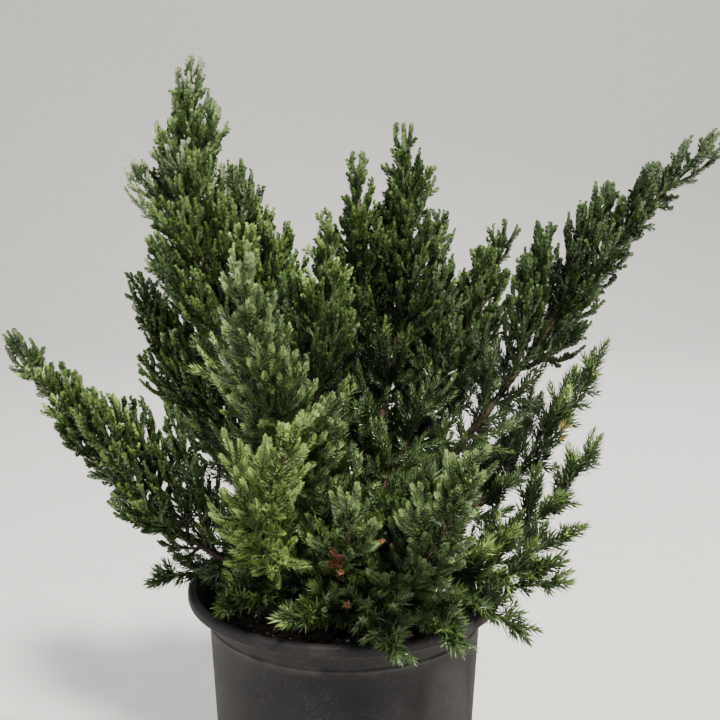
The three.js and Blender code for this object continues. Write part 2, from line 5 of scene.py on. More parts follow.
import bpy
import numpy as np
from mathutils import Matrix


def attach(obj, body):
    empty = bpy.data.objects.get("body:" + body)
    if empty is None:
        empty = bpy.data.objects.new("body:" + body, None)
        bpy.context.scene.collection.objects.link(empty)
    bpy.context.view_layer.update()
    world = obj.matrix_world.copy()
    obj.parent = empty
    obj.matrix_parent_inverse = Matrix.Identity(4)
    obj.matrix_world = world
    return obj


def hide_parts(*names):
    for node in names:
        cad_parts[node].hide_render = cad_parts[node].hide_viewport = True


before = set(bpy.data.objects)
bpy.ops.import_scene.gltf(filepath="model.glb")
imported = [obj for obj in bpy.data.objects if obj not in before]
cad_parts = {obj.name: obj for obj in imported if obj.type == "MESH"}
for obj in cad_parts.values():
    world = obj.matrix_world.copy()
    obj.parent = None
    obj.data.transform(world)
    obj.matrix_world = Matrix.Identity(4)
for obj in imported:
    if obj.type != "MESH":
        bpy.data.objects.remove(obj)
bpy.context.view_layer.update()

MM = 0.001
BODY = "root"
PIECE_LIMIT = 190000

# The one source of chance, for the soil's bits, then the twigs and needles
RANDOM = np.random.default_rng(7)

# Camera, worked out from the pot's ellipse in the photograph, and the floor, both in metres
CAMERA_PLACE = (0.00813, -0.5457, 0.3867)
CAMERA_PITCH = 79.21
CAMERA_LENS = 54.56
SENSOR_WIDTH = 36
FLOOR_FRONT = -3
FLOOR_BACK = 1.6
FLOOR_HALF_WIDTH = 4
WALL_TOP = 5

# Pot
POT_HEIGHT = 165
LIP_RADIUS = 82.5
LIP_HEIGHT = 6
NECK_RADIUS = 75
RIDGE_RADIUS = 72.3
RIDGE_STEP = 0.8
BAND_DEPTH = 17.8
BASE_RADIUS = 64.5
FOOT_ROUND = 4
POT_WALL = 1.6
POT_FLOOR = 2.5
FLOOR_RING = 30
SQUASH = 0.0025
DENTS = 0.0012
POT_SIDES = 160
DRAIN_COUNT = 6
DRAIN_SIZE = (16, 14, 14)
DRAIN_TURN = 15

# Soil
SOIL_LEVEL = 148
SOIL_CROWN_RADIUS = 24
SOIL_EDGE_DROP = 3
SOIL_SIDE_GAP = 1.4
SOIL_SUNK = 1.4
SOIL_SIDES = 128
SOIL_RINGS = 34

# Loose bits on the soil: name, count, sizes, flatness, and dark and pale colour
BITS = [
    ("bark_chips", 900, (2.0, 6.5), 0.42, (0.012, 0.008, 0.006), (0.075, 0.045, 0.028)),
    ("pale_bits", 150, (1.2, 2.8), 0.8, (0.22, 0.20, 0.17), (0.55, 0.52, 0.46)),
]
BIT_SIZE_POWER = 1.6
BIT_WIDTH = 0.4
BIT_WIDTH_SCATTER = 0.4
BIT_THICKNESS = 0.6
BIT_CORNER = 0.6
BIT_CORNER_SCATTER = 0.55
BIT_TIPPING = 1.1
BIT_LIFT = 0.3

# A box of unit size, for the bits and the drain slots
BOX_CORNERS = np.array([(x, y, z) for z in (-1, 1) for y in (-1, 1) for x in (-1, 1)]) / 2
BOX_QUADS = np.array([(0, 2, 3, 1), (4, 5, 7, 6), (0, 1, 5, 4), (2, 6, 7, 3), (0, 4, 6, 2), (1, 3, 7, 5)])

# Room over the ground, beside the pot's wall, and round twigs and needles
OVER_GROUND = 2
OFF_WALL = 3
TWIG_MARGIN = 1.0
NEEDLE_MARGIN = 0.3

# Gap between neighbouring solids, as in their source
GAP = 0.3

# Trunk: its lean, stations of height over the soil and radius, and its rings, which are closer at the flare
TRUNK_LEAN = np.array([-0.06, -0.04, 1.0])
TRUNK_STATIONS = np.array([(0, 12), (3.6, 9.4), (9, 7.5), (24, 6.6), (43, 5.5), (54, 4.6)])
TRUNK_RINGS = np.concatenate([np.linspace(0, 9, 14), np.linspace(9.6, 54, 46)])
TRUNK_SIDES = 40
TRUNK_RELIEF = 0.035

# Tubes of the boughs, and of the leaders that go on inside the foliage up to a share of their length
BOUGH_TIP_RADIUS = 1.9
BOUGH_SIDES = 12
BOUGH_RINGS = 30
BARK_RELIEF = 0.05
LEADER_TIP_RADIUS = 0.6
LEADER_SIDES = 7
LEADER_RINGS = 26
LEADER_STOPS = {"scale": 0.9, "plump": 0.9, "dense": 0.9, "awl": 0.62}

# Rods of the twigs: how much of their radius they lose, and where their point is
ROD_THINNING = 0.5
ROD_POINT = 0.985

# A limb's middle line leaves and arrives straight for these shares of its span
LEAVING_SHARE = 0.4
ARRIVING_SHARE = 0.35
CURVE_STEPS = 200

# The rule of the side shoots, the same as in the solids
WINDING = 137.508
WINDING_SCATTER = 50
SPACING_SCATTER = 0.5
LAST_SHOOT = 0.94
SPLAY_LOW = 38
SPLAY_LOSS = 14
SPLAY_SCATTER = 10
TURNED_UP = 0.26
UPPER_GAIN = 0.5
UPPER_LEVEL = 0.4
LOWEST_LENGTH = 0.7
TIP_LOSS = 0.92
TIP_LOSS_POWER = 1.6
SHORTER = 0.9
LENGTH_SCATTER = 0.3
NEARLY_UPRIGHT = 0.95
DRAW_OFFSET = 12345
DRAW_MULTIPLIER = 16807
DRAW_MODULUS = 2147483647

# Fields of a limb, as in the solids. Its coats are its colours low down and towards the tip.
LIMB_FIELDS = ("name", "azimuth", "reach", "height", "leaves", "lift", "rise", "turn", "lean", "girth",
               "bare", "width", "shoots", "kind", "low_coat", "high_coat")

# Limbs with a bough of their own
BOUGHS = [
    ("left_tall", 172, 75, 279, 36, 60, 100, 10, 0, 3.6, 0.27, 76, 17, "scale", "green", "silvery"),
    ("left_tall_inner", 155, 61, 228, 50, 68, 88, 6, 0, 2.8, 0.3, 62, 10, "scale", "deep", "green"),
    ("left_mid", 158, 122, 168, 26, 38, 66, 0, 0, 2.9, 0.28, 60, 12, "scale", "green", "green"),
    ("left_low", -166, 161, 149, 10, 12, 57, 12, 0, 3.2, 0.2, 58, 15, "scale", "deep", "green"),
    ("front_left", -95, 151, 140, 20, 18, 55, -34, 50, 2.9, 0.24, 48, 12, "plump", "lime", "lime"),
    ("front_centre", -110, 117, 195, 29, 38, 78, 10, 0, 3.1, 0.24, 60, 15, "plump", "sage", "sage"),
    ("centre", 33, 37, 246, 40, 62, 90, -2, 0, 3.4, 0.28, 58, 17, "scale", "black", "deep"),
    ("right_inner", 34, 107, 194, 33, 44, 70, 0, 0, 2.8, 0.28, 62, 10, "scale", "black", "deep"),
    ("right_long", -3, 179, 241, 26, 41, 41, 0, 0, 3.6, 0.34, 54, 18, "scale", "black", "black"),
    ("right_mid", 8, 139, 140, 17, 18, 64, 0, 0, 2.6, 0.4, 38, 9, "awl", "black", "olive"),
    ("right_low", -2, 131, 95, 5, 8, 62, -4, 0, 2.5, 0.38, 38, 8, "awl", "black", "olive"),
    ("front_right", -71, 158, 127, 11, 18, 60, 0, 0, 3.0, 0.2, 56, 14, "plump", "shade", "sage"),
    ("back_left_tall", 116, 92, 186, 44, 52, 78, 0, 0, 2.9, 0.3, 62, 11, "scale", "deep", "green"),
    ("back_centre", 86, 112, 165, 39, 42, 68, 0, 0, 2.9, 0.3, 62, 11, "scale", "deep", "green"),
    ("back_right_tall", 54, 122, 162, 23, 36, 66, 0, 0, 2.9, 0.3, 62, 11, "scale", "deep", "green"),
    ("back_right", 26, 122, 104, 10, 24, 52, 0, 0, 2.5, 0.36, 46, 7, "awl", "olive", "olive"),
    ("back_far_left", 138, 145, 130, 19, 26, 60, 0, 0, 2.8, 0.3, 58, 10, "scale", "deep", "fresh"),
    ("back_low_left", 118, 152, 88, 11, 14, 48, 0, 0, 2.6, 0.3, 54, 9, "scale", "deep", "green"),
    ("back_low", 94, 162, 98, 16, 18, 50, 0, 0, 2.7, 0.3, 58, 10, "scale", "deep", "fresh"),
    ("back_low_right", 66, 156, 90, 9, 14, 50, 0, 0, 2.6, 0.3, 58, 10, "scale", "deep", "green"),
]

# Thin shoots that spring straight from the trunk
SPRIGS = [
    ("left_front_inner", -132, 80, 157, 33, 48, 80, 0, 0, 1.7, 0.34, 40, 6, "plump", "green", "fresh"),
    ("right_upright", 20, 58, 180, 32, 54, 88, -50, 0, 1.8, 0.35, 38, 7, "scale", "black", "deep"),
    ("centre_left", 60, 14, 232, 47, 58, 90, 10, 0, 1.9, 0.3, 50, 9, "scale", "deep", "deep"),
    ("inner_left", -140, 11, 203, 46, 45, 92, 25, 0, 1.9, 0.3, 50, 8, "scale", "deep", "green"),
    ("front_low", -88, 118, 99, 20, 26, 66, 0, 0, 1.8, 0.22, 42, 8, "plump", "green", "sage"),
    ("front_right_inner", -66, 98, 104, 26, 34, 70, 0, 0, 1.7, 0.22, 42, 6, "dense", "shade", "shade"),
    ("right_low_tip", -14, 123, 56, 12, 14, 36, -8, 0, 1.6, 0.4, 26, 5, "awl", "olive", "olive"),
    ("right_fringe", -22, 119, 33, 4, 18, 12, -12, 0, 1.5, 0.45, 24, 4, "awl", "olive", "olive"),
    ("right_front_low", -33, 122, 52, 19, 20, 30, -4, 0, 1.6, 0.4, 28, 5, "awl", "olive", "olive"),
    ("right_hanging", -36, 108, 12, 8, 24, -34, -8, 0, 1.5, 0.5, 22, 4, "awl", "shade", "shade"),
    ("front_rim", -112, 82, 28, 4, 22, -6, 36, -72, 1.6, 0.45, 22, 5, "dense", "fresh", "fresh"),
    ("front_fringe_left", -76, 103, 20, 8, 22, -20, -29, 0, 1.5, 0.42, 34, 6, "dense", "shade", "shade"),
    ("front_fringe_right", -60, 106, 20, 2, 30, -26, 6, 0, 1.5, 0.42, 34, 6, "dense", "shade", "shade"),
    ("left_front_rim", -134, 84, 26, 4, 18, -8, 0, 0, 1.5, 0.5, 20, 4, "dense", "fresh", "fresh"),
    ("left_rim", -174, 102, 19, 3, 18, -18, -10, 0, 1.5, 0.45, 24, 4, "awl", "shade", "shade"),
    ("back_fringe", 78, 106, 34, 4, 20, 6, 0, 0, 1.5, 0.45, 26, 5, "awl", "olive", "olive"),
    ("back_left_fringe", 148, 104, 44, 8, 22, 16, 0, 0, 1.5, 0.45, 26, 5, "awl", "olive", "olive"),
]

# Plain colours of needles, linear, and how each coat deals them out: body and tip, with its share
TINTS = {
    "black_green": (0.013, 0.026, 0.007),
    "dark_green": (0.027, 0.053, 0.013),
    "mid_green": (0.053, 0.098, 0.022),
    "leaf_green": (0.098, 0.158, 0.034),
    "lime_green": (0.150, 0.235, 0.052),
    "yellow_green": (0.240, 0.345, 0.095),
    "sage": (0.086, 0.145, 0.052),
    "pale_sage": (0.190, 0.275, 0.095),
    "silver": (0.290, 0.340, 0.195),
    "straw": (0.300, 0.250, 0.060),
    "rust": (0.260, 0.108, 0.054),
}
# The coats "black" and "deep", given to the inner, back and low parts of the crown, deal out the darkest
# tints: the foliage's own dark green together with painted shade
COATS = {
    "silvery": (("mid_green", "pale_sage", 0.5), ("mid_green", "leaf_green", 0.3), ("sage", "silver", 0.2)),
    "green": (("mid_green", "leaf_green", 0.5), ("dark_green", "mid_green", 0.25),
              ("mid_green", "yellow_green", 0.25)),
    "deep": (("dark_green", "mid_green", 0.6), ("dark_green", "leaf_green", 0.25),
             ("mid_green", "leaf_green", 0.15)),
    "black": (("black_green", "dark_green", 0.4), ("dark_green", "mid_green", 0.6)),
    "fresh": (("mid_green", "leaf_green", 0.35), ("mid_green", "yellow_green", 0.45),
              ("dark_green", "leaf_green", 0.2)),
    "lime": (("lime_green", "yellow_green", 0.8), ("leaf_green", "yellow_green", 0.2)),
    "sage": (("sage", "pale_sage", 0.5), ("mid_green", "sage", 0.25), ("mid_green", "pale_sage", 0.25)),
    "olive": (("dark_green", "leaf_green", 0.5), ("dark_green", "mid_green", 0.3),
              ("mid_green", "yellow_green", 0.2)),
    "shade": (("dark_green", "mid_green", 0.6), ("mid_green", "sage", 0.4)),
}
TINT_NAMES = list(TINTS)

# Share of a shoot from which its needles take the tip's tint
TIP_SHARE = 0.62
TIP_SHARE_SCATTER = 0.2

# Needles of a cover: length, width, angle off the twig, spacing of the whorls, and radius they stand on
COVERS = {
    "scale": (2.6, 1.75, 18, 1.25, 1.15),
    "plump": (3.0, 1.3, 25, 0.85, 1.3),
    "juvenile": (5.4, 1.3, 38, 1.6, 0.6),
    "awl": (8.0, 1.45, 43, 1.15, 0.6),
}

# Whorls: needles in each, its place in its stretch of twig, and scatter
WHORL = 3
WHORL_PLACE = 0.35
WHORL_SCATTER = 0.4
NEEDLE_TURN_SCATTER = 0.5
NEEDLE_LENGTH_SCATTER = 0.3
NEEDLE_WIDTH_SCATTER = 0.2

# Towards a shoot's tip the needles close up and shrink, and the shoot under them gets thinner
CLOSED_AT_TIP = 0.75
CLOSING_SPAN = 0.3
SMALLER_AT_TIP = 0.42
SHRINKING_SPAN = 0.4
THINNER_AT_TIP = 0.5
SUNK_IN = 0.8

# Outlines of needles: a kite that folds down from its keel, and an awl with a raised keel. A corner has its
# share of the length along the needle, and its shares of the width out of the needle and sideways.
KITE = (
    ((0, 0, 0), (0.55, -0.12, 0.5), (1, 0, 0), (0.55, -0.12, -0.5)),
    ((0, 1, 2), (0, 2, 3)),
)
AWL = (
    ((0, 0, 0), (0.3, 0, 0.5), (1, -0.35, 0), (0.3, 0, -0.5), (0.35, 0.28, 0)),
    ((0, 1, 4), (1, 2, 4), (2, 3, 4), (3, 0, 4)),
)

# Side shoots that the scene adds between those of the solids, and how all of them bow and end
BETWEEN = {"scale": 2, "plump": 2, "dense": 3, "awl": 2}
BETWEEN_LENGTH = 0.82
USES_PER_PART = 10
FIRST_BOW = np.array([0, 0, -0.05])
FIRST_SPREAD = 0.05
SIDE_RADIUS = 1.0
SHORT_OF_TIP = 0.85
TIP_MARGIN = 9
HIGH_COAT_FROM = 0.5
JUVENILE_BELOW = {"scale": 0.22, "plump": 0.16, "dense": 2.0, "awl": 2.0}

# Leaders, and how they end
LEADER_END = 0.86
LEADER_PARTS = 8
LEADER_TURN = 0.7
LEAFY_FROM = {"scale": 0.9, "plump": 0.9, "dense": 0.9, "awl": 0.75}
END_RADIUS = 1.1

# Short shoots on the stem below a mass
INNER_COUNTS = {"scale": 13, "plump": 10, "dense": 6, "awl": 8}
INNER_FROM = 0.42
INNER_LENGTHS = (14, 34)
INNER_RADIUS = 0.8
INNER_USES = 40

# Finer twigs: their spacing, first and last share of the parent, lengths and splays low on it and at its tip,
# their radius, how much they turn up, and how much they curl
TWIGS = {
    "spiky": (8.0, 0.15, 0.75, (19, 11), (40, 30), 0.5, 0.12, 0.1),
    "sparse": (26.0, 0.15, 0.75, (19, 11), (40, 30), 0.5, 0.12, 0.1),
    "cords": (3.7, 0.08, 0.96, (30, 16), (27, 16), 1.0, 0.3, 0.1),
    "knobs": (5.8, 0.15, 0.8, (7, 4.5), (27, 22), 0.9, 0.15, 0.05),
    "fingers": (4.4, 0.08, 0.97, (18, 9), (34, 22), 1.2, 0.12, 0.1),
}
TWIG_SPACING_SCATTER = 0.7
TWIG_WINDING_SCATTER = 40
TWIG_SPLAY_SCATTER = 14
TWIG_LENGTH_POWER = 1.3
TWIG_LENGTH_SCATTER = 0.5
LONGEST_SHARE = 0.6
LONGEST_EXTRA = 3
# Painted shade: twigs low on their parent keep its body tint to their tips, so the crown's inside is darker
INNER_SHADE_SHARE = 0.25
TIP_ROOM = 7.0

# Where the photograph shows dead and yellowed needles: the middle and half axes of a spot, and its tint
DEAD_SPOTS = [
    ((-2, -104, 210), (4, 18, 10), "rust"),
    ((-2, -104, 196), (5, 32, 10), "rust"),
    ((0, -106, 184), (5, 34, 10), "rust"),
    ((18, -96, 221), (4.5, 10, 3), "rust"),
    ((71, -62, 239), (7, 12, 8), "straw"),
    ((110, 0, 246), (6, 10, 6), "straw"),
]


def unit(vectors):
    return vectors / np.maximum(np.linalg.norm(vectors, axis=-1, keepdims=True), 1e-9)


def draw(seed, shoot, use):
    """A draw between 0 and 1 that is always the same for the same mass, shoot and use."""
    state = (seed * 7919 + shoot * 104729 + use * 1299709 + DRAW_OFFSET) % DRAW_MODULUS
    for _ in range(3):
        state = state * DRAW_MULTIPLIER % DRAW_MODULUS
    return state / DRAW_MODULUS


def heading(azimuth, slope):
    """A unit vector that points to an azimuth and slopes up from the level, in degrees."""
    turn, up = math.radians(azimuth), math.radians(slope)
    return np.array([math.cos(up) * math.cos(turn), math.cos(up) * math.sin(turn), math.sin(up)])


def around(directions, angles):
    """A direction square to each heading, at an angle from its level side towards its upper one."""
    is_upright = np.abs(directions[:, 2:]) > NEARLY_UPRIGHT
    upright = np.where(is_upright, (0.0, 1.0, 0.0), (0.0, 0.0, 1.0))
    side = unit(np.cross(upright, directions))
    up = np.cross(directions, side)
    return side * np.cos(angles)[:, None] + up * np.sin(angles)[:, None]


class Limb:
    """One limb of the tables, with its middle line from the trunk's axis to its tip."""

    def __init__(self, row, seed, starts_at_trunk):
        self.__dict__.update(zip(LIMB_FIELDS, row))
        self.seed = seed
        self.starts_at_trunk = starts_at_trunk
        soil = np.array([0, 0, SOIL_LEVEL])
        start = TRUNK_LEAN * self.leaves + soil
        tip = heading(self.azimuth, 0) * self.reach + soil + (0, 0, self.height)
        span = np.linalg.norm(tip - start)
        leaving = heading(self.azimuth + self.turn, self.lift) * span * LEAVING_SHARE
        arriving = heading(self.azimuth + self.lean, self.rise) * span * ARRIVING_SHARE
        self.controls = np.array([start, start + leaving, tip - arriving, tip])
        self.times = np.linspace(0, 1, CURVE_STEPS + 1)
        steps = np.linalg.norm(np.diff(self.bezier(self.times), axis=0), axis=1)
        self.lengths = np.concatenate([[0], np.cumsum(steps)])
        self.length = self.lengths[-1]

    def bezier(self, times):
        t = np.asarray(times)[:, None]
        a, b, c, d = self.controls
        return a * (1 - t) ** 3 + 3 * b * t * (1 - t) ** 2 + 3 * c * t * t * (1 - t) + d * t ** 3

    def at(self, shares):
        """Points and unit tangents at shares of the limb's length."""
        t = np.interp(np.asarray(shares) * self.length, self.lengths, self.times)[:, None]
        a, b, c, d = self.controls
        tangents = (b - a) * (1 - t) ** 2 + 2 * (c - b) * t * (1 - t) + (d - c) * t * t
        return self.bezier(t[:, 0]), unit(tangents)


LIMBS = [Limb(row, index + 1, index >= len(BOUGHS)) for index, row in enumerate(BOUGHS + SPRIGS)]


class Shoots:
    """Many shoots in arrays. Each runs from its root along its heading, and bows out of that line."""

    FIELDS = ("root", "heading", "length", "bow", "radius", "turn", "place", "body", "tip")

    def __init__(self, *arrays):
        for field, array in zip(self.FIELDS, arrays):
            setattr(self, field, np.asarray(array))

    def __len__(self):
        return len(self.length)

    def pick(self, which):
        return Shoots(*[getattr(self, field)[which] for field in self.FIELDS])

    def at(self, which, shares):
        """Points and unit tangents of the shoots with those indices at shares of their length."""
        length = self.length[which][:, None]
        line, bow, share = self.heading[which], self.bow[which], shares[:, None]
        points = self.root[which] + length * (line * share + bow * 4 * share * (1 - share))
        return points, unit(line + bow * 4 * (1 - 2 * share))


def joined(groups):
    return Shoots(*[np.concatenate([getattr(g, field) for g in groups]) for field in Shoots.FIELDS])


def dealt_tints(coat, chance):
    """Body and tip tint of a spray, by a draw from its coat."""
    for body, tip, share in COATS[coat]:
        chance -= share
        if chance < 0:
            break
    return TINT_NAMES.index(body), TINT_NAMES.index(tip)


def sprout(limb, along, angle, splay):
    """Where a shoot leaves a limb, the limb's direction there, and the shoot's heading and bow."""
    (point,), (stem,) = limb.at([along])
    splay = math.radians(splay)
    outward = around(stem[None, :], np.array([angle]))[0]
    direction = unit(stem * math.cos(splay) + outward * math.sin(splay) + (0, 0, TURNED_UP))
    return point, stem, direction, FIRST_BOW + FIRST_SPREAD * outward


def side_shoots(limb):
    """A limb's side shoots by the solids' rule, with finer ones between them that the same rule grows."""
    rows = []
    parts = BETWEEN[limb.kind] + 1
    for step in range(limb.shoots * parts):
        index, part = divmod(step, parts)
        in_place, in_turn, in_splay, in_length, in_coat = (
            draw(limb.seed, index, USES_PER_PART * part + use) for use in (0, 1, 2, 3, 5))
        share = min((index + part / parts + SPACING_SCATTER * in_place) / limb.shoots, 1)
        along = limb.bare + (LAST_SHOOT - limb.bare) * share
        winding = index + part * limb.shoots
        angle = math.radians(WINDING * winding + WINDING_SCATTER * (in_turn - 0.5))
        splay = SPLAY_LOW - SPLAY_LOSS * share + SPLAY_SCATTER * (in_splay - 0.5)
        point, stem, direction, bow = sprout(limb, along, angle, splay)
        upper = 1 + UPPER_GAIN * math.hypot(stem[0], stem[1]) * (math.sin(angle) - UPPER_LEVEL)
        taper = min(1, LOWEST_LENGTH + share) * (1 - TIP_LOSS * share ** TIP_LOSS_POWER)
        length = limb.width * taper * upper * (SHORTER + LENGTH_SCATTER * in_length)
        length *= BETWEEN_LENGTH if part else 1
        length = min(length, SHORT_OF_TIP * limb.length * (1 - along) + TIP_MARGIN)
        body, tip = dealt_tints(limb.high_coat if share > HIGH_COAT_FROM else limb.low_coat, in_coat)
        rows.append((point, direction, length, bow, SIDE_RADIUS, angle, share, body, tip))
    return Shoots(*zip(*rows))


def inner_shoots(limb):
    """Short spiky shoots along the stem below a limb's mass, where the crown is dark."""
    rows = []
    count = INNER_COUNTS[limb.kind]
    short, long = INNER_LENGTHS
    for index in range(count):
        in_place, in_turn, in_splay, in_tint, in_length = (
            draw(limb.seed, index, INNER_USES + use) for use in range(5))
        share = (index + in_place) / count
        along = limb.bare * (INNER_FROM + (1 - INNER_FROM) * share)
        angle = math.radians(WINDING * index + WINDING_SCATTER * in_turn)
        point, _, direction, bow = sprout(limb, along, angle, SPLAY_LOW + SPLAY_SCATTER * in_splay)
        length = short + (long - short) * in_length
        body, tip = dealt_tints("shade", in_tint)
        rows.append((point, direction, length, bow, INNER_RADIUS, angle, 0.0, body, tip))
    return Shoots(*zip(*rows))


def end_shoot(limb):
    """The leader's last stretch as a shoot, so that it carries twigs and needles as the side shoots do."""
    (root, middle, end), _ = limb.at([LEADER_END, (LEADER_END + 1) / 2, 1])
    body, tip = dealt_tints(limb.high_coat, draw(limb.seed, 0, 6))
    length = np.linalg.norm(end - root)
    bow = (middle - (root + end) / 2) / length
    return Shoots([root], [unit(end - root)], [length], [bow], [END_RADIUS], [0.0], [1.0], [body], [tip])


def leader_shoots(limb):
    """A limb's leafy stretch as a row of short straight shoots, to carry needles."""
    shares = np.linspace(limb.bare * LEAFY_FROM[limb.kind], LEADER_END, LEADER_PARTS + 1)
    points, _ = limb.at(shares)
    steps = np.diff(points, axis=0)
    lengths = np.linalg.norm(steps, axis=1)
    count = len(lengths)
    # Painted shade: the leader's needles take the low coat's body tint to the end, with no pale tips, so the
    # crown's inside is darker
    tint, _ = dealt_tints(limb.low_coat, draw(limb.seed, 0, 7))
    tints = np.full(count, tint)
    return Shoots(points[:-1], unit(steps), lengths, np.zeros((count, 3)), np.full(count, SIDE_RADIUS),
                  np.arange(count) * LEADER_TURN, shares[:-1], tints, tints)


def spread_out(counts):
    """For each owner its index as often as it counts, and the running number of each copy."""
    owner = np.repeat(np.arange(len(counts)), counts)
    order = np.arange(len(owner)) - np.repeat(np.cumsum(counts) - counts, counts)
    return owner, order


def either_way(count, span):
    """Draws spread evenly about 0."""
    return span * (RANDOM.random(count) - 0.5)


def about_one(count, span):
    """Draws spread evenly about 1."""
    return 1 - span / 2 + span * RANDOM.random(count)


def in_the_open(points, margin):
    """Whether points are clear of the pot's wall, its lip and the soil."""
    x, y, z = points.T
    reach = np.hypot(x, y)
    over_lip = z > POT_HEIGHT + margin
    outside = (reach > LIP_RADIUS + margin) & (z > OVER_GROUND)
    inside = (reach < NECK_RADIUS - OFF_WALL - margin) & (z > SOIL_LEVEL + margin)
    return over_lip | outside | inside


def clear_shoots(shoots):
    everyone = np.arange(len(shoots))
    middle = shoots.at(everyone, np.full(len(shoots), 0.5))[0]
    end = shoots.at(everyone, np.ones(len(shoots)))[0]
    return shoots.pick(in_the_open(middle, TWIG_MARGIN) & in_the_open(end, TWIG_MARGIN))


def twigs_on(parents, kind):
    """Finer twigs on shoots: they wind up them, splay less towards the tip and curl back to their line."""
    spacing, first, last, lengths, splays, radius, up, curl = TWIGS[kind]
    counts = np.maximum(1, np.round(parents.length * (last - first) / spacing)).astype(int)
    owner, order = spread_out(counts)
    total = len(owner)
    spot = order + TWIG_SPACING_SCATTER * RANDOM.random(total)
    share = np.minimum(first + (last - first) * spot / counts[owner], last)
    roots, stems = parents.at(owner, share)
    turn = WINDING * order + either_way(total, TWIG_WINDING_SCATTER)
    angle = parents.turn[owner] + np.radians(turn)
    splay = splays[0] + (splays[1] - splays[0]) * share + either_way(total, TWIG_SPLAY_SCATTER)
    splay = np.radians(splay)[:, None]
    outward = around(stems, angle)
    direction = unit(stems * np.cos(splay) + outward * np.sin(splay) + (0, 0, up))
    length = lengths[0] + (lengths[1] - lengths[0]) * share ** TWIG_LENGTH_POWER
    length = length * about_one(total, TWIG_LENGTH_SCATTER)
    length = np.minimum(length, LONGEST_SHARE * parents.length[owner] + LONGEST_EXTRA)
    length = np.minimum(length, (1 - share) * parents.length[owner] + TIP_ROOM)
    bow = (outward - direction * np.sum(outward * direction, axis=1)[:, None]) * curl
    body = parents.body[owner]
    # Painted shade: twigs low on the parent get no pale tips
    tip = np.where(share < INNER_SHADE_SHARE, body, parents.tip[owner])
    radii = np.full(total, radius)
    return clear_shoots(Shoots(roots, direction, length, bow, radii, angle, share, body, tip))


def withered(points, tints):
    """Tints of needles, changed where the photograph shows dead or yellowed ones."""
    for centre, half_axes, tint in DEAD_SPOTS:
        near = np.linalg.norm((points - centre) / half_axes, axis=1) < 1
        tints = np.where(near, TINT_NAMES.index(tint), tints)
    return tints


def needles_on(shoots, cover, first=0.0):
    """Whorls of three needles on shoots: each has a base, axis, outward normal, length, width and tint."""
    length, width, spread, spacing, stand = COVERS[cover]
    counts = np.maximum(1, np.round(shoots.length * (1 - first) / spacing)).astype(int)
    owner, order = spread_out(counts)
    owner, order = np.repeat(owner, WHORL), np.repeat(order, WHORL)
    total = len(owner)
    corner = np.arange(total) % WHORL
    spot = order + WHORL_PLACE + either_way(total, WHORL_SCATTER)
    share = first + (1 - first) * spot / counts[owner]
    points, stems = shoots.at(owner, share)
    angle = shoots.turn[owner] + np.pi / WHORL * (order % 2) + 2 * np.pi / WHORL * corner
    angle += either_way(total, NEEDLE_TURN_SCATTER)
    outward = around(stems, angle)
    closing = 1 - CLOSED_AT_TIP * np.clip((share - 1 + CLOSING_SPAN) / CLOSING_SPAN, 0, 1) ** 2
    splay = spread * closing + either_way(total, spread * NEEDLE_TURN_SCATTER)
    splay = np.radians(splay)[:, None]
    axis = stems * np.cos(splay) + outward * np.sin(splay)
    normal = outward * np.cos(splay) - stems * np.sin(splay)
    size = 1 - SMALLER_AT_TIP * np.clip((share - 1 + SHRINKING_SPAN) / SHRINKING_SPAN, 0, 1)
    length = length * (size * about_one(total, NEEDLE_LENGTH_SCATTER))
    base = points + outward * (stand * (1 - THINNER_AT_TIP * share))[:, None] * SUNK_IN
    is_tip = share > TIP_SHARE + either_way(total, TIP_SHARE_SCATTER)
    tint = withered(base, np.where(is_tip, shoots.tip[owner], shoots.body[owner]))
    width = width * about_one(total, NEEDLE_WIDTH_SCATTER)
    end = base + axis * length[:, None]
    keep = in_the_open(base, NEEDLE_MARGIN) & in_the_open(end, NEEDLE_MARGIN)
    needles = {"base": base, "axis": axis, "normal": normal, "length": length, "width": width, "tint": tint}
    return {key: value[keep] for key, value in needles.items()}


def merged(groups):
    return {key: np.concatenate([group[key] for group in groups]) for key in groups[0]}


def copied(pattern, count, corners):
    """Faces of so many copies of one shape that has so many corners."""
    pattern = np.array(pattern)
    return (corners * np.arange(count)[:, None, None] + pattern).reshape(-1, pattern.shape[1])


def needle_mesh(needles, corners, pattern):
    """Needles of one outline, each with its corners and faces."""
    axis, normal = needles["axis"], needles["normal"]
    side = np.cross(axis, normal)
    length, width = needles["length"][:, None], needles["width"][:, None]
    places = [needles["base"] + axis * length * along + normal * width * out + side * width * aside
              for along, out, aside in corners]
    return np.stack(places, axis=1).reshape(-1, 3), copied(pattern, len(axis), len(corners))


def rod_mesh(shoots, sides, steps):
    """Thin tapering twigs that end in a point."""
    count = len(shoots)
    everyone = np.arange(count)
    rings = []
    for step in range(steps):
        points, stems = shoots.at(everyone, np.full(count, step / steps))
        radius = shoots.radius * (1 - ROD_THINNING * step / steps)
        for side in range(sides):
            angle = np.full(count, 2 * math.pi * side / sides)
            rings.append(points + around(stems, angle) * radius[:, None])
    rings.append(shoots.at(everyone, np.full(count, ROD_POINT))[0])
    vertices = np.stack(rings, axis=1)
    per_shoot = vertices.shape[1]
    pattern = []
    for step in range(steps - 1):
        for side in range(sides):
            a, b = step * sides + side, step * sides + (side + 1) % sides
            pattern += [[a, b, b + sides], [a, b + sides, a + sides]]
    last = (steps - 1) * sides
    pattern += [[last + side, last + (side + 1) % sides, per_shoot - 1] for side in range(sides)]
    return vertices.reshape(-1, 3), copied(pattern, count, per_shoot)


def new_object(name, data):
    made = bpy.data.objects.new(name, data)
    bpy.context.scene.collection.objects.link(made)
    return made


